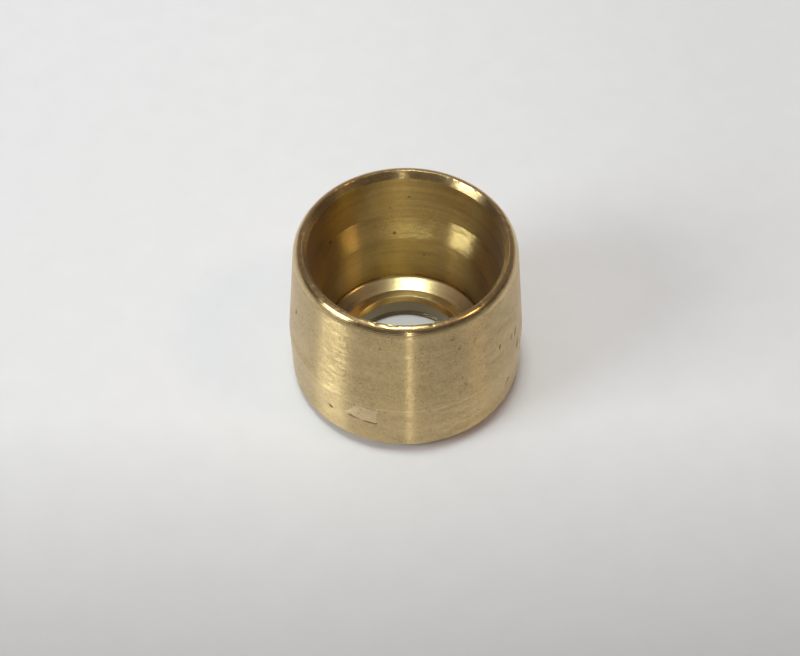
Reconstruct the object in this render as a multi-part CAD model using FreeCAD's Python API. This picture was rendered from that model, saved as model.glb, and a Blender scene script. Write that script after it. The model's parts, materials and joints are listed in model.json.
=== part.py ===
import FreeCAD, Part
import math
import os

# Compression olive: a thimble-shaped brass sleeve, turned from bar in one piece.
# It stands on its closed-in end, on the ring round the small hole. The wide mouth looks up.
# Origin: centre of the base ring. +Z runs up the axis, out of the mouth. Lengths in millimetres.

# Bore, from the mouth down
SOCKET_DIAMETER = 5.84        # straight socket that grips the liner
MOUTH_STEP = 0.28             # mouth bore is wider than the socket by this much on each side
MOUTH_DEPTH = 1.95            # rim to the lower end of the mouth bore
MOUTH_CHAMFER_WIDTH = 0.21    # bevel just inside the rim, across the wall
MOUTH_CHAMFER_DEPTH = 0.25    # the same bevel, down the bore
TAPER_LENGTH = 0.96           # cone that leads from the mouth bore into the socket
SOCKET_DEPTH = 2.18           # lower end of that cone to the flat floor ring
DRILL_POINT_ANGLE = 135.0     # included angle of the drilled bottom, degrees
CORNER_ROUND = 0.30           # round where the socket wall runs into the drilled bottom

# Closed-in end
HOLE_DIAMETER = 3.9           # through hole for the fitting's nipple
HOLE_CHAMFER = 0.14           # 45 degree bevel on the hole's upper edge
FLOOR_WIDTH = 0.30            # flat floor ring outside that bevel
LIP_HEIGHT = 0.91             # base to the flat floor ring
BASE_CHAMFER = 0.40           # 45 degree bevel round the foot

# Outside
LAND_WALL = 1.08              # wall between the socket and the cylindrical land
LAND_TOP = 2.30               # base to the upper edge of the land, where the outer taper starts
CREST_ROUND = 0.18            # small round on the highest line of the rim
SHOULDER_ROUND = 0.50         # larger round that carries the rim on into the outer taper
ROUND_CHANGE_ANGLE = 42.0     # slope of the surface normal where the two rounds meet, degrees

# Sizes that follow from the ones above
socket_radius = SOCKET_DIAMETER / 2
mouth_radius = socket_radius + MOUTH_STEP
crest_radius = mouth_radius + MOUTH_CHAMFER_WIDTH
outside_radius = socket_radius + LAND_WALL
hole_radius = HOLE_DIAMETER / 2
bevel_radius = hole_radius + HOLE_CHAMFER
floor_radius = bevel_radius + FLOOR_WIDTH
socket_top = LIP_HEIGHT + SOCKET_DEPTH
mouth_bottom = socket_top + TAPER_LENGTH
overall_length = mouth_bottom + MOUTH_DEPTH


def point(radius, height):
    """A point of the profile, in the plane through the axis."""
    return FreeCAD.Vector(radius, 0, height)


def on_round(centre, radius, slope):
    """The point of a round where the surface normal slopes up by this many degrees."""
    angle = math.radians(slope)
    return centre + point(radius * math.cos(angle), radius * math.sin(angle))


def round_edge(centre, radius, first_slope, last_slope):
    """An arc about a centre, between two slopes of its normal."""
    middle_slope = (first_slope + last_slope) / 2
    slopes = (first_slope, middle_slope, last_slope)
    return Part.Arc(*[on_round(centre, radius, slope) for slope in slopes]).toShape()


def straight_edges(points):
    """Straight edges through the points, in order."""
    return [Part.LineSegment(a, b).toShape() for a, b in zip(points, points[1:])]


def outer_edges():
    """Foot bevel, land, taper and the two rounds of the rim, from the base up to the crest."""
    crest_centre = point(crest_radius, overall_length - CREST_ROUND)
    change = on_round(crest_centre, CREST_ROUND, ROUND_CHANGE_ANGLE)
    shoulder_centre = on_round(change, -SHOULDER_ROUND, ROUND_CHANGE_ANGLE)

    # The taper runs from the land's upper edge and touches the larger round.
    land_edge = point(outside_radius, LAND_TOP)
    reach = land_edge - shoulder_centre
    bearing = math.atan2(reach.z, reach.x)
    taper_slope = math.degrees(bearing + math.acos(SHOULDER_ROUND / reach.Length))
    taper_top = on_round(shoulder_centre, SHOULDER_ROUND, taper_slope)
    print("outer taper, degrees from the axis:", round(taper_slope, 2))

    edges = straight_edges([
        point(hole_radius, 0),
        point(outside_radius - BASE_CHAMFER, 0),
        point(outside_radius, BASE_CHAMFER),
        land_edge,
        taper_top,
    ])
    edges.append(round_edge(shoulder_centre, SHOULDER_ROUND, taper_slope, ROUND_CHANGE_ANGLE))
    edges.append(round_edge(crest_centre, CREST_ROUND, ROUND_CHANGE_ANGLE, 90))
    return edges


def inner_edges():
    """Mouth bevel, stepped bore, drilled bottom, floor ring and hole, from the crest down to the base."""
    point_slope = DRILL_POINT_ANGLE / 2
    turn = math.radians(point_slope)
    cone_rise = (socket_radius - floor_radius) / math.tan(turn)
    cone_length = (socket_radius - floor_radius) / math.sin(turn)
    corner_height = LIP_HEIGHT + cone_rise

    # The corner's round takes at most what the cone and the straight wall leave for it.
    room = min(cone_length, socket_top - corner_height)
    corner_round = min(CORNER_ROUND, room / math.tan(turn / 2) * 0.95)
    tangent_height = corner_height + corner_round * math.tan(turn / 2)
    corner_centre = point(socket_radius - corner_round, tangent_height)

    edges = straight_edges([
        point(crest_radius, overall_length),
        point(mouth_radius, overall_length - MOUTH_CHAMFER_DEPTH),
        point(mouth_radius, mouth_bottom),
        point(socket_radius, socket_top),
        point(socket_radius, tangent_height),
    ])
    edges.append(round_edge(corner_centre, corner_round, 0, -point_slope))
    edges += straight_edges([
        on_round(corner_centre, corner_round, -point_slope),
        point(floor_radius, LIP_HEIGHT),
        point(bevel_radius, LIP_HEIGHT),
        point(hole_radius, LIP_HEIGHT - HOLE_CHAMFER),
        point(hole_radius, 0),
    ])
    print("socket's straight wall:", round(tangent_height, 3), "to", round(socket_top, 3))
    return edges


def turn_olive():
    """The whole olive, as its half section turned once about the axis."""
    section = Part.Face(Part.Wire(outer_edges() + inner_edges()))
    return section.revolve(FreeCAD.Vector(0, 0, 0), FreeCAD.Vector(0, 0, 1), 360)


olive = turn_olive()
os.makedirs("parts", exist_ok=True)
olive.exportStep("parts/olive.step")

box = olive.optimalBoundingBox(False, False)
print("valid:", olive.isValid(), "solids:", len(olive.Solids), "volume mm3:", round(olive.Volume, 3))
print("outside diameter:", round(box.XLength, 3), "length:", round(box.ZLength, 3))
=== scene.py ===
# %% [markdown]
# # A turned brass olive
# The real part is one turning. A lathe faces, tapers and bores a brass bar, then parts the olive off.
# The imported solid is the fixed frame: it gives the bores, the overall size and the place of every mark. This
# script gives that solid the skin of the real one, with tool marks, pits, a lifted flake and a nicked rim.
# Then it sets up paper, light and camera.

# %% Load the frame
import json
import math
from collections import namedtuple

import bpy
from mathutils import Matrix, Vector


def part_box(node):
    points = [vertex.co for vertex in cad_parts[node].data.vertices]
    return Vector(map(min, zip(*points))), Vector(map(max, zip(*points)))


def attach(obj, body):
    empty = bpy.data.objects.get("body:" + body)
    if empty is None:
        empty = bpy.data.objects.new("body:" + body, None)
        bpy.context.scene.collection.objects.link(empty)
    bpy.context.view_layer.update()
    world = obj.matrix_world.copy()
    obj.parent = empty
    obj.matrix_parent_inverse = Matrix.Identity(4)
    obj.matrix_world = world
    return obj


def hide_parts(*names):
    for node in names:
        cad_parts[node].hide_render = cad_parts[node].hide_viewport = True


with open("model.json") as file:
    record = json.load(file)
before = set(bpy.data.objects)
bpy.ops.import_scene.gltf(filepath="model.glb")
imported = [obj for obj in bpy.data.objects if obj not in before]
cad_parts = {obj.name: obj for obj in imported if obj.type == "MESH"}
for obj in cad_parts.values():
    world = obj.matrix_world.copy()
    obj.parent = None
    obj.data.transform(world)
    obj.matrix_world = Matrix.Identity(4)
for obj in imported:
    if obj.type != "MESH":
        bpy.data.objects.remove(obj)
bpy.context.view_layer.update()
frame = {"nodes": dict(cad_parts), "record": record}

MM = 0.001

# %% [markdown]
# ## Camera
# The picture looks down on the olive at about 51 degrees, from so near that the circles deep in the bore
# look smaller than the rim. A camera can be matched by eye, but a round part does better than that: each of
# its circles shows as an ellipse. Distance, lens and aim were fitted to the ellipses of rim, bore and hole.

# %% Camera
PHOTO_WIDTH = 800
PHOTO_HEIGHT = 656
CAMERA_ELEVATION = math.radians(51.34)
CAMERA_DISTANCE = 46.0 * MM
CAMERA_AIM = Vector((-0.198, 0, 1.665)) * MM
CAMERA_ROLL = math.radians(-0.32)
FOCAL_LENGTH_PIXELS = 1322


def add_object(name, data):
    """A new object in the scene's own collection."""
    made = bpy.data.objects.new(name, data)
    bpy.context.scene.collection.objects.link(made)
    return made


def camera_turn():
    """The camera's axes as a matrix: right, up and backwards."""
    right = Vector((1, 0, 0))
    up = Vector((0, math.sin(CAMERA_ELEVATION), math.cos(CAMERA_ELEVATION)))
    lean, rise = math.sin(CAMERA_ROLL), math.cos(CAMERA_ROLL)
    rolled_right = rise * right + lean * up
    rolled_up = rise * up - lean * right
    return Matrix((rolled_right, rolled_up, rolled_right.cross(rolled_up))).transposed()


def make_camera():
    """A camera that frames the olive as the picture does."""
    lens = bpy.data.cameras.new("photo_camera")
    lens.lens = FOCAL_LENGTH_PIXELS / PHOTO_WIDTH * lens.sensor_width
    lens.clip_start = 1 * MM
    lens.clip_end = 10
    made = add_object("photo_camera", lens)
    turn = camera_turn()
    made.matrix_world = Matrix.Translation(CAMERA_AIM + turn.col[2] * CAMERA_DISTANCE) @ turn.to_4x4()
    return made


camera = make_camera()
bpy.context.scene.camera = camera
print("lens, mm:", round(camera.data.lens, 2), "camera at, mm:", [round(v / MM, 1) for v in camera.location])

# %% [markdown]
# ## Half section
# The lathe makes a shape that is the same all round, so the whole form is one outline in the plane through
# the axis. Bores and overall sizes come from the frame. Real edges are never sharp: each corner of the
# outline carries a small radius, which catches a thin line of light. The rim and both ends of the taper in
# the bore have larger rounds.

# %% Sizes of the half section, in millimetres
MOUNTS = {mount["name"]: mount for mount in frame["record"]["mounts"]}


def bore_span(name):
    """Radius, lower end and upper end of a bore."""
    mount = MOUNTS[name]
    middle = mount["pos_m"][2] / MM
    half = mount["dims"]["length_mm"] / 2
    return mount["dims"]["r_mm"], middle - half, middle + half


mouth_radius, mouth_bottom, mouth_top = bore_span("mouth_bore")
socket_radius, _, socket_top = bore_span("liner_socket")
hole_radius, _, hole_top = bore_span("nipple_hole")
box_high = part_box("olive")[1] / MM
rim_height = round(box_high.z, 2)
outside_radius = round(box_high.x, 2)

CREST_RADIUS = 3.41                    # highest line of the rim
CREST_FLAT = 0.05                      # worn flat beside that line, towards the bore
CREST_ROUND = 0.18                     # small round on the crest
SHOULDER_ROUND = 0.50                  # larger round from the crest into the outer taper
ROUND_CHANGE = math.radians(42)        # slope of the surface normal where those two rounds meet
LAND_TOP = 2.30                        # where the cylindrical land ends and the outer taper starts
FOOT_BEVEL = 0.40
HOLE_BEVEL = 0.14
FLOOR_WIDTH = 0.30                     # flat ring round the hole's bevel
DRILL_HALF_ANGLE = math.radians(67.5)  # between the axis and the drilled bottom
CORNER_ROUND = 0.15                    # where the socket meets the drilled bottom
TAPER_ROUND = 0.22                     # both ends of the taper in the bore

floor_height = hole_top + HOLE_BEVEL
bevel_radius = hole_radius + HOLE_BEVEL
floor_radius = bevel_radius + FLOOR_WIDTH
corner_height = floor_height + (socket_radius - floor_radius) / math.tan(DRILL_HALF_ANGLE)
print("rim height:", rim_height, "outside radius:", outside_radius, "floor height:", round(floor_height, 3))

# %% Corners of the half section
def along_slope(slope):
    """Unit vector whose angle above the radial direction is the slope."""
    return Vector((math.cos(slope), math.sin(slope)))


def meet(point_a, direction_a, point_b, direction_b):
    """Where two lines of the section cross."""
    cross = direction_a.x * direction_b.y - direction_a.y * direction_b.x
    gap = point_b - point_a
    return point_a + direction_a * ((gap.x * direction_b.y - gap.y * direction_b.x) / cross)


def rim_corners():
    """The two corners that the rim's rounds replace: taper to shoulder, shoulder to top."""
    crest_centre = Vector((CREST_RADIUS, rim_height - CREST_ROUND))
    change = crest_centre + along_slope(ROUND_CHANGE) * CREST_ROUND
    shoulder_centre = change - along_slope(ROUND_CHANGE) * SHOULDER_ROUND
    land_edge = Vector((outside_radius, LAND_TOP))
    reach = land_edge - shoulder_centre
    taper = math.atan2(reach.y, reach.x) + math.acos(SHOULDER_ROUND / reach.length)
    taper_line = Vector((-math.sin(taper), math.cos(taper)))
    change_line = Vector((-math.sin(ROUND_CHANGE), math.cos(ROUND_CHANGE)))
    shoulder = meet(land_edge, taper_line, change, change_line)
    crest = meet(change, change_line, Vector((0, rim_height)), Vector((1, 0)))
    return shoulder, crest


shoulder_corner, crest_corner = rim_corners()

# Each corner: place and size of its round. Then, for the run up to the next corner (named behind the row),
# the spacing of the rows and the finish from 0 to 1: polish, tarnish and painted shade, depth of the grooves
# and yellow film.
Corner = namedtuple("Corner", "radius height size spacing polish tarnish groove film")
FIRST_FINISH = Corner._fields.index("polish")
FINISHES = Corner._fields[FIRST_FINISH:]
SECTION = [
    Corner(hole_radius, 0, 0.03, 0.5, 0.4, 0.3, 0.6, 0.0),                             # base ring
    Corner(outside_radius - FOOT_BEVEL, 0, 0.04, 0.14, 0.5, 0.1, 1.0, 0.0),            # foot bevel
    Corner(outside_radius, FOOT_BEVEL, 0.06, 0.05, 0.5, 0.0, 0.8, 0.0),                # land
    Corner(outside_radius, LAND_TOP, 0.05, 0.085, 0.5, 0.0, 0.8, 0.0),                 # outer taper
    Corner(*shoulder_corner, SHOULDER_ROUND, 0.06, 1.0, 0.2, 0.2, 0.0),                # shoulder
    Corner(*crest_corner, CREST_ROUND, 0.06, 0.8, 0.2, 0.1, 0.2),                      # crest
    Corner(CREST_RADIUS - CREST_FLAT, rim_height, 0.02, 0.06, 0.7, 0.3, 0.2, 0.0),     # mouth bevel
    Corner(mouth_radius, mouth_top, 0.03, 0.25, 0.0, 0.08, 0.4, 0.5),                  # mouth bore
    Corner(mouth_radius, mouth_bottom, TAPER_ROUND, 0.25, 0.0, 0.0, 0.8, 0.5),         # taper in the bore
    Corner(socket_radius, socket_top, TAPER_ROUND, 0.25, 0.0, 0.0, 0.7, 0.6),          # socket
    # The rows from the drilled bottom to the hole carry the most tarnish and painted shade, which darkens the
    # deep end of the bore.
    Corner(socket_radius, corner_height, CORNER_ROUND, 0.08, 0.8, 0.75, 0.0, 0.4),     # drilled bottom
    Corner(floor_radius, floor_height, 0.01, 0.1, 0.5, 0.78, 0.0, 0.2),                # floor ring
    Corner(bevel_radius, floor_height, 0.015, 0.1, 0.5, 0.6, 0.0, 0.2),                # hole bevel
    Corner(hole_radius, hole_top, 0.015, 0.25, 0.2, 1.0, 0.3, 0.0),                    # hole
]
print("corners:", len(SECTION), "shoulder corner:", [round(value, 3) for value in shoulder_corner])

# %% Outline of the half section
ARC_STEP = math.radians(16)
SAME_POINT = 1e-4


def rounded_corner(before, corner, after, size):
    """Points of the arc that replaces a corner."""
    to_before, to_after = (before - corner).normalized(), (after - corner).normalized()
    half = to_before.angle(to_after) / 2
    centre = corner + (to_before + to_after).normalized() * (size / math.sin(half))
    first = corner + to_before * (size / math.tan(half)) - centre
    last = corner + to_after * (size / math.tan(half)) - centre
    steps = max(2, math.ceil((math.pi - 2 * half) / ARC_STEP))
    return [centre + first.slerp(last, step / steps) * size for step in range(steps + 1)]


def outline():
    """The closed outline, from the hole's lower edge outwards, up, over the rim and down the bore.

    Each point comes with the finish of its run, which changes in the first third of a corner's arc.
    """
    places = [Vector((corner.radius, corner.height)) for corner in SECTION]
    count = len(places)
    arcs = [
        rounded_corner(places[i - 1], places[i], places[(i + 1) % count], SECTION[i].size)
        for i in range(count)
    ]
    points, finishes = [], []
    for i, arc in enumerate(arcs):
        last, here = (Vector(SECTION[j][FIRST_FINISH:]) for j in (i - 1, i))
        end = arcs[(i + 1) % count][0]
        rows = max(1, round((end - arc[-1]).length / SECTION[i].spacing))
        run = [arc[-1].lerp(end, row / rows) for row in range(1, rows)]
        first = 1 if points and (arc[0] - points[-1]).length < SAME_POINT else 0
        points += arc[first:] + run
        steps = len(arc) - 1
        finishes += [last.lerp(here, min(1, 3 * step / steps)) for step in range(first, len(arc))]
        finishes += [here] * len(run)
    return points + [points[0]], finishes + [finishes[0]]


section, section_finish = outline()
section_length = [0.0]
for here, there in zip(section, section[1:]):
    section_length.append(section_length[-1] + (there - here).length)
print("outline points:", len(section), "length, mm:", round(section_length[-1], 2))

# %% [markdown]
# ## Marks on the wall
# The real olive has been knocked about. Its wall carries dark pits, short dents and one lifted flake near
# the foot. Each mark that the picture shows is placed by its pixel: a ray from the camera finds the spot on
# the solid. The marks are drawn as short strokes on the wall as if it were unrolled flat, because there a
# pit is just a line with a width.

# %% Places on the unrolled wall
olive_solid = frame["nodes"]["olive"]


def on_solid(x, y):
    """The spot of the olive that a pixel of the picture shows, in metres."""
    across = (x - PHOTO_WIDTH / 2) / FOCAL_LENGTH_PIXELS
    down = (y - PHOTO_HEIGHT / 2) / FOCAL_LENGTH_PIXELS
    direction = camera.matrix_world.to_3x3() @ Vector((across, -down, -1))
    found, place, *_ = olive_solid.ray_cast(camera.matrix_world.translation, direction.normalized())
    if not found:
        raise ValueError(f"pixel {x}, {y} misses the olive")
    return place


def height_to_length(height):
    """Length along the outline where the outer wall has this height."""
    for here, there, length in zip(section, section[1:], section_length):
        outside = min(here.x, there.x) > CREST_RADIUS
        if outside and here.y <= height <= there.y and there.y > here.y:
            return length + (there - here).length * (height - here.y) / (there.y - here.y)
    raise ValueError(f"no outer wall at height {height}")


def on_sheet(x, y):
    """A pixel's place on the unrolled wall, in millimetres round and along the outline."""
    place = on_solid(x, y)
    turn = math.atan2(place.x, -place.y) * outside_radius
    return Vector((turn, height_to_length(place.z / MM), 0))


print("land's upper edge along the outline, mm:", round(height_to_length(LAND_TOP), 2))

# %% Pits and the gap under the flake
# Each pit: pixel across, pixel down, length and half width in mm, tilt in degrees from level, depth in mm.
PITS = [
    (515, 331, 0.24, 0.08, 60, 0.04),
    (511, 338, 0.12, 0.06, 60, 0.04),
    (517, 343, 0.26, 0.08, 70, 0.04),
    (500, 347, 0.05, 0.08, 55, 0.04),
    (459, 349, 0.06, 0.06, 70, 0.03),
    (453, 340, 0.14, 0.04, -10, 0.02),
    (475, 340, 0.08, 0.05, 40, 0.03),
    (463, 377, 0.05, 0.05, 60, 0.03),
    (466, 384, 0.08, 0.05, -45, 0.03),
    (507, 381, 0.30, 0.065, 55, 0.05),
    (296, 312, 0.14, 0.08, 75, 0.05),
    (331, 406, 0.10, 0.07, -50, 0.05),
    (369, 377, 0.03, 0.05, 0, 0.02),
    (375, 390, 0.12, 0.04, -10, 0.02),
    (361, 409, 0.05, 0.035, -20, 0.02),
    (359, 413, 0.04, 0.035, 0, 0.02),
    (366, 412, 0.05, 0.035, -10, 0.02),
]
# The gap: both ends by pixel, half width and depth in mm.
# Its dark colour is painted shadow under the flake's lower edge.
FLAKE_GAP = ((350, 414.5), (376, 423.5), 0.055, 0.05)


def stroke_ends():
    """Both ends of each pit and of the gap on the unrolled wall, with half width and depth."""
    for x, y, length, width, tilt, depth in PITS:
        angle = math.radians(tilt)
        half = Vector((math.cos(angle), math.sin(angle), 0)) * (length / 2)
        yield on_sheet(x, y) - half, on_sheet(x, y) + half, width, depth
    start, end, width, depth = FLAKE_GAP
    yield on_sheet(*start), on_sheet(*end), width, depth


def stroke_object(name):
    """Edges on the unrolled wall, with a half width and a depth at each end."""
    points, widths, depths = [], [], []
    for start, end, width, depth in stroke_ends():
        points += [start, end]
        widths += [width, width]
        depths += [depth, depth]
    mesh = bpy.data.meshes.new(name)
    mesh.from_pydata(points, [(i, i + 1) for i in range(0, len(points), 2)], [])
    mesh.attributes.new("width", "FLOAT", "POINT").data.foreach_set("value", widths)
    mesh.attributes.new("depth", "FLOAT", "POINT").data.foreach_set("value", depths)
    return add_object(name, mesh)


pits = stroke_object("pits")
print("strokes drawn:", len(pits.data.edges))

# %% Flake
# Corners of the flake by pixel, with how far each one stands off the wall, in millimetres.
FLAKE = [
    ((345, 411), 0.0),
    ((376, 422.5), 0.05),
    ((376, 410), 0.04),
    ((357, 405), 0.0),
]


def patch_object(name, corners):
    """One face on the unrolled wall, with the lift of each corner."""
    mesh = bpy.data.meshes.new(name)
    mesh.from_pydata([on_sheet(*pixel) for pixel, _ in corners], [], [tuple(range(len(corners)))])
    lifts = mesh.attributes.new("lift", "FLOAT", "POINT")
    lifts.data.foreach_set("value", [lift for _, lift in corners])
    return add_object(name, mesh)


flake = patch_object("flake", FLAKE)
print("flake corners, mm:", [[round(value, 2) for value in corner.co] for corner in flake.data.vertices])

# %% [markdown]
# ## Node helpers
# Geometry and material trees are built the same way: add a node, set it up, and link or fill its inputs.
# Three small helpers keep the trees below short enough to read.

# %% Helpers for node trees
def add_node(tree, kind, inputs=None, **settings):
    """A new node. Inputs are given by name or number, as a value or as another node's output."""
    made = tree.nodes.new(kind)
    for name, value in settings.items():
        setattr(made, name, value)
    for key, value in (inputs or {}).items():
        if isinstance(value, bpy.types.NodeSocket):
            tree.links.new(value, made.inputs[key])
        else:
            made.inputs[key].default_value = value
    return made


def calc(tree, operation, *values):
    """The output of one step of arithmetic."""
    return add_node(tree, "ShaderNodeMath", dict(enumerate(values)), operation=operation).outputs[0]


def xyz(tree, x, y, z):
    """A vector put together from three numbers."""
    return add_node(tree, "ShaderNodeCombineXYZ", {"X": x, "Y": y, "Z": z}).outputs["Vector"]


print("node helpers:", [helper.__name__ for helper in (add_node, calc, xyz)])

# %% [markdown]
# ## Turned wall
# Spinning the outline would give the plain form in one step. Geometry Nodes are used instead, because the
# marks are easiest to press in while the wall is still a flat sheet: the tree lays out a grid, one column
# for each step round and one row for each point of the outline, measures how near each grid point is to a
# pit or to the flake, and only then rolls the sheet up and closes it.

# %% Inputs of the wall tree
def wall_inputs(tree):
    """Named inputs of the tree. Returns their identifiers by name."""
    kinds = {
        "Outline": "NodeSocketGeometry",
        "Pits": "NodeSocketObject",
        "Flake": "NodeSocketObject",
        "Steps Round": "NodeSocketInt",
        "Sheet Radius": "NodeSocketFloat",
        "Crest": "NodeSocketFloat",
        "Nick Depth": "NodeSocketFloat",
        "Nick Reach": "NodeSocketFloat",
        "Scattered Pits": "NodeSocketInt",
        "Scatter Low": "NodeSocketFloat",
        "Scatter High": "NodeSocketFloat",
        "Seed": "NodeSocketInt",
        "Finish": "NodeSocketMaterial",
    }
    made = {
        name: tree.interface.new_socket(name, in_out="INPUT", socket_type=kind).identifier
        for name, kind in kinds.items()
    }
    tree.interface.new_socket("Wall", in_out="OUTPUT", socket_type="NodeSocketGeometry")
    return made


wall_tree = bpy.data.node_groups.new("turned_wall", "GeometryNodeTree")
wall_sockets = wall_inputs(wall_tree)
wall_source = add_node(wall_tree, "NodeGroupInput").outputs
print("inputs of the wall tree:", list(wall_sockets))

# %% Helpers for points and their stored values
def named(tree, name, data_type="FLOAT"):
    """Reads a stored attribute."""
    node = add_node(tree, "GeometryNodeInputNamedAttribute", {"Name": name}, data_type=data_type)
    return node.outputs["Attribute"]


def store(tree, geometry, name, value, data_type="FLOAT"):
    """Stores a field on the points."""
    inputs = {"Geometry": geometry, "Name": name, "Value": value}
    settings = {"data_type": data_type, "domain": "POINT"}
    return add_node(tree, "GeometryNodeStoreNamedAttribute", inputs, **settings).outputs["Geometry"]


def sample(tree, geometry, value, index, data_type="FLOAT"):
    """Reads a value of one point of another geometry."""
    inputs = {"Geometry": geometry, "Value": value, "Index": index}
    settings = {"data_type": data_type, "domain": "POINT"}
    return add_node(tree, "GeometryNodeSampleIndex", inputs, **settings).outputs["Value"]


def move(tree, geometry, **inputs):
    """Sets positions or adds an offset."""
    return add_node(tree, "GeometryNodeSetPosition", {"Geometry": geometry, **inputs}).outputs["Geometry"]


def fade(tree, gap, reach):
    """1 at no distance, falling softly to 0 at the reach."""
    inputs = {"Value": gap, "From Min": 0.0, "From Max": reach, "To Min": 1.0, "To Max": 0.0}
    return add_node(tree, "ShaderNodeMapRange", inputs, interpolation_type="SMOOTHSTEP").outputs["Result"]


print("point helpers:", [helper.__name__ for helper in (named, store, sample, move, fade)])

# %% Flat sheet
def flat_sheet(tree, source):
    """A grid whose points know their turn, their length along the outline and their place in the section."""
    rows = add_node(
        tree, "GeometryNodeAttributeDomainSize", {"Geometry": source["Outline"]}, component="MESH"
    ).outputs["Point Count"]
    columns = calc(tree, "ADD", source["Steps Round"], 1)
    counts = {"Vertices X": columns, "Vertices Y": rows}
    grid = add_node(tree, "GeometryNodeMeshGrid", {"Size X": 1.0, "Size Y": 1.0, **counts})
    place = add_node(tree, "GeometryNodeInputPosition").outputs[0]
    split = add_node(tree, "ShaderNodeSeparateXYZ", {0: place})
    last_row = calc(tree, "SUBTRACT", rows, 1)
    row = calc(tree, "ROUND", calc(tree, "MULTIPLY", calc(tree, "ADD", split.outputs["Y"], 0.5), last_row))
    # The grid's own places say which row a point is in, so all of this is stored before the grid moves.
    turn = calc(tree, "MULTIPLY", split.outputs["X"], 2 * math.pi)
    sheet = store(tree, grid.outputs["Mesh"], "turn", turn)
    for name in ("along", *FINISHES):
        sheet = store(tree, sheet, name, sample(tree, source["Outline"], named(tree, name), row))
    spot = sample(tree, source["Outline"], place, row, "FLOAT_VECTOR")
    sheet = store(tree, sheet, "spot", spot, "FLOAT_VECTOR")
    across = calc(tree, "MULTIPLY", named(tree, "turn"), source["Sheet Radius"])
    return move(tree, sheet, Position=xyz(tree, across, named(tree, "along"), 0.0))


plain_sheet = flat_sheet(wall_tree, wall_source)
print("nodes so far, flat sheet:", len(wall_tree.nodes))

# %% [markdown]
# ## Pits on the hidden side
# The picture shows only the near side of the wall. The far side is most likely just as worn, so the tree
# strews a few short strokes over that half of the unrolled wall. Placing them by hand would do as well, but
# a random spread with a fixed seed looks less arranged, and comes out the same each run.

# %% Scattered pits
SCATTER_LENGTH = 0.1
SCATTER_HALF_WIDTH = 0.045
SCATTER_DEPTH = 0.02
SCATTER_TILT_LOW = 0.3
SCATTER_TILT_HIGH = 2.2


def scattered_places(tree, source):
    """Random places on the half of the unrolled outer wall that the picture doesn't show."""
    width = calc(tree, "MULTIPLY", source["Sheet Radius"], math.pi)
    height = calc(tree, "SUBTRACT", source["Scatter High"], source["Scatter Low"])
    middle = calc(tree, "MULTIPLY", calc(tree, "ADD", source["Scatter High"], source["Scatter Low"]), 0.5)
    low = xyz(tree, calc(tree, "MULTIPLY", width, 0.5), calc(tree, "MULTIPLY", height, -0.5), 0.0)
    high = xyz(tree, width, calc(tree, "MULTIPLY", height, 0.5), 0.0)
    strewn = add_node(
        tree,
        "FunctionNodeRandomValue",
        {"Min": low, "Max": high, "Seed": source["Seed"]},
        data_type="FLOAT_VECTOR",
    ).outputs["Value"]
    # Every second stroke goes to the other end of the sheet.
    index = add_node(tree, "GeometryNodeInputIndex").outputs[0]
    end = calc(tree, "MULTIPLY_ADD", calc(tree, "MODULO", index, 2.0), -2.0, 1.0)
    return add_node(
        tree,
        "ShaderNodeVectorMath",
        {0: strewn, 1: xyz(tree, end, 1.0, 1.0), 2: xyz(tree, 0.0, middle, 0.0)},
        operation="MULTIPLY_ADD",
    ).outputs["Vector"]


def scattered_strokes(tree, source):
    """Short strokes at those places, each with a tilt of its own."""
    points = add_node(tree, "GeometryNodePoints", {"Count": source["Scattered Pits"]}).outputs["Points"]
    placed = move(tree, points, Position=scattered_places(tree, source))
    ends = {"Start Location": (-SCATTER_LENGTH / 2, 0, 0), "Offset": (SCATTER_LENGTH, 0, 0)}
    stroke = add_node(tree, "GeometryNodeMeshLine", {"Count": 2, **ends}).outputs["Mesh"]
    tilt = add_node(
        tree,
        "FunctionNodeRandomValue",
        {2: SCATTER_TILT_LOW, 3: SCATTER_TILT_HIGH, "Seed": source["Seed"]},
        data_type="FLOAT",
    ).outputs[1]
    laid = add_node(
        tree,
        "GeometryNodeInstanceOnPoints",
        {"Points": placed, "Instance": stroke, "Rotation": xyz(tree, 0.0, 0.0, tilt)},
    ).outputs["Instances"]
    real = add_node(tree, "GeometryNodeRealizeInstances", {"Geometry": laid}).outputs["Geometry"]
    real = store(tree, real, "width", SCATTER_HALF_WIDTH)
    return store(tree, real, "depth", SCATTER_DEPTH)


strewn_strokes = scattered_strokes(wall_tree, wall_source)
print("nodes so far, scattered pits:", len(wall_tree.nodes))

# %% [markdown]
# ## Marks pressed in
# A pit could be cut out with a boolean, but on the flat sheet it is only a distance: the nearer a grid point
# lies to a stroke, the deeper it is pressed in. The same measure says where dirt collects in the pits and
# paints shadow in the gap under the flake. The flake is the one mark that stands up, so its face lifts the
# points that lie on it.

# %% Depth of the marks
FULL_DIRT_AND_SHADOW_DEPTH = 0.04
ON_FLAKE = 0.01


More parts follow.
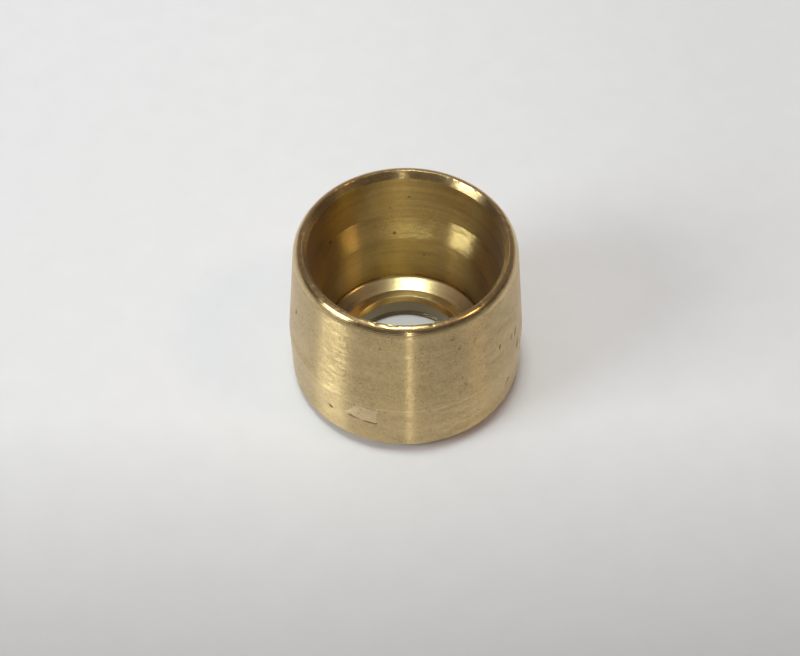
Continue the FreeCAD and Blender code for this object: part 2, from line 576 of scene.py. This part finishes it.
def press_marks(tree, sheet, scattered, source):
    """Stores how far each point rises or sinks, how dark it gets and where the flake is.

    Dark means dirt in the pits and painted shadow in the gap under the flake.
    """
    drawn = add_node(tree, "GeometryNodeObjectInfo", {"Object": source["Pits"]}).outputs["Geometry"]
    joined = add_node(tree, "GeometryNodeJoinGeometry")
    for part in (drawn, scattered):
        tree.links.new(part, joined.inputs["Geometry"])
    strokes = joined.outputs["Geometry"]
    gap = add_node(tree, "GeometryNodeProximity", {0: strokes}, target_element="EDGES").outputs["Distance"]
    nearest = add_node(tree, "GeometryNodeSampleNearest", {0: strokes}, domain="POINT").outputs["Index"]
    depth = sample(tree, strokes, named(tree, "depth"), nearest)
    inside = fade(tree, gap, sample(tree, strokes, named(tree, "width"), nearest))
    # A shallow pit holds less dirt than a deep one. The gap under the flake is deep enough to go fully dark,
    # as painted shadow.
    dirt_and_shadow = calc(tree, "MINIMUM", calc(tree, "DIVIDE", depth, FULL_DIRT_AND_SHADOW_DEPTH), 1.0)
    sheet = store(tree, sheet, "pit", calc(tree, "MULTIPLY", inside, dirt_and_shadow))

    patch = add_node(tree, "GeometryNodeObjectInfo", {"Object": source["Flake"]}).outputs["Geometry"]
    beside = add_node(tree, "GeometryNodeProximity", {0: patch}, target_element="FACES").outputs["Distance"]
    on_patch = calc(tree, "LESS_THAN", beside, ON_FLAKE)
    sheet = store(tree, sheet, "flake", on_patch)
    lifts = {"Mesh": patch, "Value": named(tree, "lift")}
    lift = add_node(tree, "GeometryNodeSampleNearestSurface", lifts, data_type="FLOAT").outputs["Value"]
    raised = calc(tree, "MULTIPLY", on_patch, lift)
    return store(tree, sheet, "rise", calc(tree, "SUBTRACT", raised, calc(tree, "MULTIPLY", inside, depth)))


marked_sheet = press_marks(wall_tree, plain_sheet, strewn_strokes, wall_source)
print("nodes so far, marks:", len(wall_tree.nodes))

# %% [markdown]
# ## Rim nicks and rolling up
# The rim's crest has many tiny dents, too many to place one by one, so noise bites into a narrow band along
# it. Then the sheet is rolled up, its first and last rows and columns are merged so that the wall is closed,
# and each point is pushed in or out along its normal.

# %% Rim nicks and rolling up
NICK_SCALE = 1 / (0.22 * MM)
NICK_THRESHOLD = 0.48
MERGE_DISTANCE = 0.001 * MM


def rim_nicks(tree, source):
    """How far the rim's edge is dented, strongest on the crest itself."""
    gap = calc(tree, "ABSOLUTE", calc(tree, "SUBTRACT", named(tree, "along"), source["Crest"]))
    place = add_node(tree, "GeometryNodeInputPosition").outputs[0]
    rough = add_node(
        tree,
        "ShaderNodeTexNoise",
        {"Vector": place, "W": source["Seed"], "Scale": NICK_SCALE, "Detail": 3.0, "Roughness": 0.6},
        noise_dimensions="4D",
    ).outputs[0]
    bite = calc(tree, "MAXIMUM", calc(tree, "SUBTRACT", rough, NICK_THRESHOLD), 0.0)
    near = fade(tree, gap, source["Nick Reach"])
    return calc(tree, "MULTIPLY", calc(tree, "MULTIPLY", bite, near), source["Nick Depth"])


def roll_up(tree, sheet, source):
    """Rolls the marked sheet up, closes it, presses the marks in and gives it the finish."""
    spot = add_node(tree, "ShaderNodeSeparateXYZ", {0: named(tree, "spot", "FLOAT_VECTOR")})
    turn = named(tree, "turn")
    rolled = xyz(
        tree,
        calc(tree, "MULTIPLY", spot.outputs["X"], calc(tree, "SINE", turn)),
        calc(tree, "MULTIPLY", spot.outputs["X"], calc(tree, "MULTIPLY", calc(tree, "COSINE", turn), -1.0)),
        spot.outputs["Z"],
    )
    wall = move(tree, sheet, Position=rolled)
    wall = add_node(
        tree, "GeometryNodeMergeByDistance", {"Geometry": wall, "Distance": MERGE_DISTANCE}
    ).outputs[0]
    out = add_node(tree, "GeometryNodeInputNormal").outputs[0]
    rise = calc(tree, "SUBTRACT", named(tree, "rise"), rim_nicks(tree, source))
    push = add_node(
        tree, "ShaderNodeVectorMath", {0: out, "Scale": calc(tree, "MULTIPLY", rise, MM)}, operation="SCALE"
    ).outputs["Vector"]
    wall = move(tree, wall, Offset=push)
    for spent in ("turn", "spot", "rise"):
        wall = add_node(tree, "GeometryNodeRemoveAttribute", {"Geometry": wall, "Name": spent}).outputs[0]
    wall = add_node(tree, "GeometryNodeSetShadeSmooth", {"Geometry": wall}).outputs[0]
    wall = add_node(tree, "GeometryNodeRealizeInstances", {"Geometry": wall}).outputs[0]
    wall = add_node(
        tree, "GeometryNodeSetMaterial", {"Geometry": wall, "Material": source["Finish"]}
    ).outputs[0]
    add_node(tree, "NodeGroupOutput", {"Wall": wall})


roll_up(wall_tree, marked_sheet, wall_source)
print("wall tree nodes:", len(wall_tree.nodes))

# %% [markdown]
# ## Brass
# Turned brass is bare metal with thousands of fine grooves that run round the axis. They spread a reflection
# up and down but hardly sideways, so a lamp shows as a vertical streak. The shader does the same with an
# anisotropic highlight, turned across the grooves and stronger where they are deep. A thin clear coat and a
# little sheen stand for handling and dust, which lighten the dark sides of the bore.

# %% Brass that is the same all over
EVEN_FINISH = {
    "Metallic": 1.0,
    "Anisotropic Rotation": 0.25,
    "Coat Weight": 0.35,
    "Coat Roughness": 0.2,
    "Coat IOR": 1.8,
    "Sheen Weight": 0.09,
    "Sheen Roughness": 0.5,
}

brass = bpy.data.materials.new("turned_brass")
brass.use_nodes = True
brass_tree = brass.node_tree
brass_shader = brass_tree.nodes["Principled BSDF"]
for name, value in EVEN_FINISH.items():
    brass_shader.inputs[name].default_value = value
tangent = add_node(brass_tree, "ShaderNodeTangent", direction_type="RADIAL", axis="Z")
brass_tree.links.new(tangent.outputs[0], brass_shader.inputs["Tangent"])
print("brass, the same all over:", EVEN_FINISH)

# %% [markdown]
# ## Patterns in the brass
# A painted texture could show the stains, but it would need an image. Noise needs none, and it can follow
# the lathe: stretched round the axis it gives bands and rings, and on plain coordinates it gives grain,
# blotches and tiny dots of dirt. The masks that the wall tree stored say where each finish lies.

# %% Masks and patterns
def noise(tree, vector, scale, detail, roughness):
    """Fractal noise between 0 and 1."""
    inputs = {"Vector": vector, "Scale": scale, "Detail": detail, "Roughness": roughness}
    return add_node(tree, "ShaderNodeTexNoise", inputs).outputs[0]


def span(tree, value, low, high, to_low=0.0, to_high=1.0):
    """Maps a range of values onto another."""
    inputs = {"Value": value, "From Min": low, "From Max": high, "To Min": to_low, "To Max": to_high}
    return add_node(tree, "ShaderNodeMapRange", inputs).outputs["Result"]


def lathe_place(tree, place, length, around, along):
    """A coordinate that follows the lathe: its change for one radian round and one millimetre along."""
    split = add_node(tree, "ShaderNodeSeparateXYZ", {0: place})
    level = xyz(tree, split.outputs["X"], split.outputs["Y"], 0.0)
    ring = add_node(tree, "ShaderNodeVectorMath", {0: level}, operation="NORMALIZE").outputs["Vector"]
    turn = add_node(tree, "ShaderNodeSeparateXYZ", {0: ring})
    return xyz(
        tree,
        calc(tree, "MULTIPLY", turn.outputs["X"], around),
        calc(tree, "MULTIPLY", turn.outputs["Y"], around),
        calc(tree, "MULTIPLY", length, along),
    )


def brass_patterns(tree, place, length):
    """The patterns by name. Scales on plain coordinates are one over a size."""
    return {
        "bands": noise(tree, lathe_place(tree, place, length, 0.8, 1.6), 1.0, 3.0, 0.55),
        "rings": noise(tree, lathe_place(tree, place, length, 0.7, 5.0), 1.0, 3.0, 0.65),
        "scuffs": noise(tree, lathe_place(tree, place, length, 7.0, 6.0), 1.0, 2.0, 0.6),
        "grain": noise(tree, place, 1 / (0.10 * MM), 3.0, 0.7),
        "blotch": noise(tree, place, 1 / (0.14 * MM), 4.0, 0.8),
        "dots": span(tree, noise(tree, place, 1 / (0.06 * MM), 2.0, 0.6), 0.56, 0.68),
        "clusters": span(tree, noise(tree, place, 1 / (0.8 * MM), 2.0, 0.5), 0.36, 0.60),
    }


brass_place = add_node(brass_tree, "ShaderNodeTexCoord").outputs["Object"]
mask = {
    name: add_node(brass_tree, "ShaderNodeAttribute", attribute_name=name).outputs["Fac"]
    for name in ("pit", "flake", *FINISHES, "along")
}
pattern = brass_patterns(brass_tree, brass_place, mask["along"])
print("masks:", list(mask), "patterns:", list(pattern))

# %% [markdown]
# ## Colour of the brass
# The colour is built in layers: the metal's own tone, dots of dirt, a painted highlight where land and taper
# meet, a lighter face on the flake, a yellow film with darker rings in the bore, tarnish and painted shade at
# the bottom, a few dark specks, dirt in the pits and painted shadow in the gap under the flake.

# %% Colour of the brass
BRASS_LIGHT = (0.80, 0.60, 0.275, 1)
BRASS_DARK = (0.59, 0.42, 0.168, 1)
# Pale brass for the painted highlight where land and taper meet, and for the flake's lighter face.
PALE_BRASS = (0.98, 0.78, 0.46, 1)
# Dark brown for tarnish, and for painted shade at the deep end of the bore and in the hole.
TARNISH_AND_SHADE = (0.20, 0.147, 0.066, 1)
FILM = (0.64, 0.46, 0.11, 1)
DOT_DIRT = (0.25, 0.16, 0.08, 1)
# Dark brown for dirt in pits and specks, and for the painted shadow in the gap under the flake.
DIRT_AND_GAP_SHADOW = (0.18, 0.115, 0.05, 1)
LAND_LINE_HEIGHT = LAND_TOP - 0.02

# Specks of dirt in the bore: pixel across, pixel down and radius in mm.
SPECKS = [
    (409, 197, 0.07),
    (394.5, 233, 0.09),
    (330.5, 242, 0.09),
    (424, 255, 0.07),
    (390, 208, 0.05),
]


def blend(tree, factor, colour_a, colour_b):
    """The first colour where the factor is 0, the second where it is 1."""
    inputs = {"Factor": factor, 6: colour_a, 7: colour_b}
    return add_node(tree, "ShaderNodeMix", inputs, data_type="RGBA").outputs[2]


def land_highlight_and_flake_face(tree):
    """Painted highlight on a thin broken line where land and taper meet, and a lighter face on the flake."""
    gap = calc(tree, "ABSOLUTE", calc(tree, "SUBTRACT", mask["along"], height_to_length(LAND_LINE_HEIGHT)))
    line = span(tree, gap, 0.01, 0.035, 0.6, 0.0)
    broken = calc(tree, "MULTIPLY", line, span(tree, pattern["bands"], 0.35, 0.6))
    return calc(tree, "MAXIMUM", broken, calc(tree, "MULTIPLY", mask["flake"], 0.45))


def brass_colour(tree):
    """The layers of colour, from the metal up."""
    blotches = calc(tree, "MULTIPLY", pattern["blotch"], 0.65)
    tone = calc(tree, "MULTIPLY_ADD", pattern["bands"], 0.35, blotches)
    metal = blend(tree, span(tree, tone, 0.36, 0.64), BRASS_DARK, BRASS_LIGHT)
    dotted = calc(tree, "MULTIPLY", pattern["dots"], calc(tree, "MULTIPLY", pattern["clusters"], 0.85))
    metal = blend(tree, dotted, metal, DOT_DIRT)
    # Painted highlight on the line where land and taper meet, and a lighter face on the flake.
    metal = blend(tree, land_highlight_and_flake_face(tree), metal, PALE_BRASS)
    metal = blend(tree, mask["film"], metal, FILM)
    # Painted shade: the tarnish column darkens the bottom of the bore and the hole, with darker rings where
    # there is film.
    rings = span(tree, pattern["rings"], 0.35, 0.65, -0.3, 0.35)
    stain_and_shade = calc(tree, "MULTIPLY_ADD", mask["film"], rings, mask["tarnish"])
    metal = blend(tree, stain_and_shade, metal, TARNISH_AND_SHADE)
    for x, y, radius in SPECKS:
        ends = {0: brass_place, 1: on_solid(x, y)}
        gap = add_node(tree, "ShaderNodeVectorMath", ends, operation="DISTANCE").outputs["Value"]
        metal = blend(tree, span(tree, gap, 0.3 * radius * MM, radius * MM, 0.85, 0.0), metal, DIRT_AND_GAP_SHADOW)
    # Dirt in the pits, and painted shadow in the gap under the flake, which shares the pits' mask.
    return blend(tree, span(tree, mask["pit"], 0.1, 0.6), metal, DIRT_AND_GAP_SHADOW)


brass_tree.links.new(brass_colour(brass_tree), brass_shader.inputs["Base Color"])
print("specks in the bore:", len(SPECKS), "brass nodes so far:", len(brass_tree.nodes))

# %% [markdown]
# ## Gloss and grooves of the brass
# The grooves that are wide enough to see are bump, because in the mesh they would take millions of faces.
# They wander a little and change in depth, as they do when the bar chatters on the lathe. The rim and the
# drilled bottom are smoother than the rest.

# %% Gloss and grooves of the brass
TURNED_ROUGHNESS = 0.29
POLISHED_ROUGHNESS = 0.18
GROOVE_PITCH = 0.05
GROOVE_SLOPE = 0.65
GROOVE_WANDER = 3.0
GRAIN_HEIGHT = 0.001


def brass_roughness(tree):
    """Rough where the tool left grooves, smooth where the metal is polished, a little uneven in both."""
    smooth = span(tree, mask["polish"], 0.5, 1.0, TURNED_ROUGHNESS, POLISHED_ROUGHNESS)
    return calc(tree, "ADD", smooth, span(tree, pattern["blotch"], 0.3, 0.7, -0.015, 0.03))


def brass_relief(tree):
    """One groove for each turn of the lathe, a little uneven in spacing and depth, and a fine grain."""
    wander = calc(tree, "MULTIPLY", pattern["scuffs"], GROOVE_WANDER)
    turns = calc(tree, "MULTIPLY_ADD", mask["along"], 2 * math.pi / GROOVE_PITCH, wander)
    depth = calc(tree, "MULTIPLY", mask["groove"], GROOVE_SLOPE * GROOVE_PITCH / (2 * math.pi))
    depth = calc(tree, "MULTIPLY", depth, span(tree, pattern["scuffs"], 0.3, 0.7, 0.45, 1.5))
    grain = calc(tree, "MULTIPLY", pattern["grain"], GRAIN_HEIGHT)
    height = calc(tree, "MULTIPLY_ADD", calc(tree, "SINE", turns), depth, grain)
    inputs = {"Strength": 1.0, "Distance": MM, "Filter Width": 0.01, "Height": height}
    return add_node(tree, "ShaderNodeBump", inputs).outputs[0]


brass_tree.links.new(brass_roughness(brass_tree), brass_shader.inputs["Roughness"])
streak = span(brass_tree, mask["groove"], 0.0, 0.8, 0.6, 0.98)
brass_tree.links.new(streak, brass_shader.inputs["Anisotropic"])
relief = brass_relief(brass_tree)
for name in ("Normal", "Coat Normal"):
    brass_tree.links.new(relief, brass_shader.inputs[name])
print("brass nodes:", len(brass_tree.nodes))

# %% [markdown]
# ## The olive's mesh
# The tree runs as a modifier on a mesh that holds nothing but the outline. A live modifier could stay on the
# object, but the result is wanted as a plain mesh, so it is copied from the evaluated object. The outline
# and the drawn marks have then done their work and are removed.

# %% Roll the wall and keep it as a plain mesh
STEPS_ROUND = 520
SEED = 7


def crest_length():
    """Length along the outline at the middle of the crest."""
    return min(
        (abs(point.x - CREST_RADIUS) + abs(point.y - rim_height), length)
        for point, length in zip(section, section_length)
    )[1]


def outline_object():
    """The outline as edges, with its length and finish stored at each point."""
    points = [(point.x * MM, 0, point.y * MM) for point in section]
    mesh = bpy.data.meshes.new("outline")
    mesh.from_pydata(points, [(i, i + 1) for i in range(len(points) - 1)], [])
    columns = {"along": section_length, **dict(zip(FINISHES, zip(*section_finish)))}
    for name, values in columns.items():
        mesh.attributes.new(name, "FLOAT", "POINT").data.foreach_set("value", values)
    return add_object("outline", mesh)


def roll_wall():
    """The olive's skin as a plain mesh object at the origin."""
    blank = outline_object()
    modifier = blank.modifiers.new("turned_wall", "NODES")
    settings = {
        "Pits": pits,
        "Flake": flake,
        "Steps Round": STEPS_ROUND,
        "Sheet Radius": outside_radius,
        "Crest": crest_length(),
        "Nick Depth": 0.12,
        "Nick Reach": 0.12,
        "Scattered Pits": 24,
        "Scatter Low": height_to_length(FOOT_BEVEL + 0.3),
        "Scatter High": height_to_length(rim_height - 0.8),
        "Seed": SEED,
        "Finish": brass,
    }
    for name, value in settings.items():
        modifier[wall_sockets[name]] = value
    modifier.node_group = wall_tree
    depsgraph = bpy.context.evaluated_depsgraph_get()
    mesh = bpy.data.meshes.new_from_object(
        blank.evaluated_get(depsgraph), preserve_all_data_layers=True, depsgraph=depsgraph
    )
    for helper in (blank, pits, flake):
        bpy.data.objects.remove(helper)
    return add_object("olive_body", mesh)


olive = roll_wall()
print("rows:", len(section), "triangles:", 2 * len(olive.data.polygons))
print("stored on the olive:", [attribute.name for attribute in olive.data.attributes])

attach(olive, "root")
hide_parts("olive")

# %% [markdown]
# ## Paper
# The olive stands on a sheet of white paper. A flat floor is enough, with a very faint mottle. In the
# picture the paper gets darker towards the camera and to the right. Lamps alone make such a fall only over
# a much larger floor, so it is painted shade in the paper's own tone, with a faint pink in front.

# %% Floor
FLOOR_HALF = 1.5
PAPER_FRONT = (0.80, 0.785, 0.81, 1)
PAPER_BACK = (0.80, 0.795, 0.825, 1)
FRONT_SHADE = 0.56
RIGHT_SHADE = 0.89


def make_paper():
    """White paper with painted shade towards the camera and to the right."""
    paper = bpy.data.materials.new("white_paper")
    paper.use_nodes = True
    tree = paper.node_tree
    shader = tree.nodes["Principled BSDF"]
    shader.inputs["Roughness"].default_value = 0.9
    shader.inputs["Specular IOR Level"].default_value = 0.1
    place = add_node(tree, "ShaderNodeTexCoord").outputs["Object"]
    split = add_node(tree, "ShaderNodeSeparateXYZ", {0: place})
    to_right, to_back = split.outputs["X"], split.outputs["Y"]
    # Painted shade: the paper darkens towards the camera and to the right, and turns a faint pink in front.
    front = span(tree, to_back, -2.5 * MM, -14 * MM, 1.0, FRONT_SHADE)
    right = span(tree, to_right, -4 * MM, 14 * MM, 1.0, RIGHT_SHADE)
    mottle = span(tree, noise(tree, place, 1 / (1.2 * MM), 4.0, 0.5), 0.0, 1.0, 0.97, 1.03)
    shade = calc(tree, "MULTIPLY", calc(tree, "MULTIPLY", front, right), mottle)
    tone = blend(tree, span(tree, to_back, -14 * MM, 2 * MM), PAPER_FRONT, PAPER_BACK)
    shaded = add_node(tree, "ShaderNodeVectorMath", {0: tone, "Scale": shade}, operation="SCALE")
    tree.links.new(shaded.outputs["Vector"], shader.inputs["Base Color"])
    return paper


def make_floor():
    """One flat face at the height of the olive's base."""
    sides = ((-1, -1), (1, -1), (1, 1), (-1, 1))
    mesh = bpy.data.meshes.new("paper_floor")
    mesh.from_pydata([(x * FLOOR_HALF, y * FLOOR_HALF, 0) for x, y in sides], [], [(0, 1, 2, 3)])
    mesh.materials.append(make_paper())
    return add_object("paper_floor", mesh)


floor = make_floor()
print("floor, metres across:", 2 * FLOOR_HALF)

# %% [markdown]
# ## Lamps
# Metal shows what it mirrors, so each lamp is placed for the reflection that it draws. A lamp overhead, a
# little to the left, gives the glint at the bottom of the bore and the narrow shadow round the foot. A
# window on the left gives the pale streak on the wall and the cream spot in the bore. A warm lamp on the
# right gives the orange spot. A narrow upright lamp in front, low down, gives the thin bright line.

# %% Lamps
STEEP = 0.9


def lamp(name, direction, distance, width, height, power, colour):
    """A rectangular lamp in a direction from the olive, facing it, with its width kept level."""
    light = bpy.data.lights.new(name, "AREA")
    light.shape = "RECTANGLE"
    light.size = width
    light.size_y = height
    light.energy = power
    light.color = colour
    towards = Vector(direction).normalized()
    level = Vector((0, 0, 1)).cross(towards) if towards.z < STEEP else Vector((1, 0, 0))
    across = (level - towards * level.dot(towards)).normalized()
    turn = Matrix((across, towards.cross(across), towards)).transposed()
    made = add_object(name, light)
    made.matrix_world = Matrix.Translation(towards * distance) @ turn.to_4x4()
    return made


lamps = [
    lamp("ceiling_lamp", (-0.055, 0.03, 1.0), 0.5, 0.10, 0.07, 1.12, (0.86, 1.0, 0.94)),
    lamp("left_window", (-0.80, -0.345, 0.487), 0.6, 0.24, 0.22, 1.65, (0.90, 0.98, 1.0)),
    lamp("warm_lamp", (0.61, -0.164, 0.775), 0.6, 0.10, 0.10, 0.37, (1.0, 0.68, 0.38)),
    lamp("camera_side", (0.05, -0.99, 0.12), 0.5, 0.008, 0.14, 0.10, (1.0, 0.98, 0.92)),
]
print("lamps:", [made.name for made in lamps])

# %% [markdown]
# ## Room
# Lamps in a black room would leave the rest of the metal black. A dim room fills it in. Its ceiling glows,
# which softens the shadow, and its back glows low down, which gives the rim its pale line.

# %% Room
ROOM_TINT = (1.0, 0.85, 0.87, 1)
ROOM_DIM = 0.09
CEILING_GLOW = 0.78
CEILING_SPREAD = 6.0
CEILING_MIDDLE = Vector((-0.14, -0.15, 1)).normalized()
BACK_GLOW = 1.0
BACK_SPREAD = 2.0


def make_room():
    """A dim room that glows on the ceiling, a little left and to the camera's side, and low at the back."""
    made = bpy.data.worlds.new("room")
    made.use_nodes = True
    tree = made.node_tree
    background = tree.nodes["Background"]
    background.inputs["Color"].default_value = ROOM_TINT
    direction = add_node(tree, "ShaderNodeTexCoord").outputs["Generated"]
    facing = add_node(
        tree, "ShaderNodeVectorMath", {0: direction, 1: CEILING_MIDDLE}, operation="DOT_PRODUCT"
    ).outputs["Value"]
    ceiling = calc(tree, "POWER", calc(tree, "MAXIMUM", facing, 0.0), CEILING_SPREAD)
    strength = calc(tree, "MULTIPLY_ADD", ceiling, CEILING_GLOW, ROOM_DIM)
    split = add_node(tree, "ShaderNodeSeparateXYZ", {0: direction})
    level = calc(tree, "SUBTRACT", 1.0, calc(tree, "ABSOLUTE", split.outputs["Z"]))
    low = calc(tree, "POWER", level, BACK_SPREAD)
    back = calc(tree, "MULTIPLY", low, span(tree, split.outputs["Y"], 0.2, 0.8))
    strength = calc(tree, "MULTIPLY_ADD", back, BACK_GLOW, strength)
    tree.links.new(strength, background.inputs["Strength"])
    return made


room = make_room()
bpy.context.scene.world = room
bpy.context.scene.view_settings.view_transform = "Standard"
print("room nodes:", len(room.node_tree.nodes))
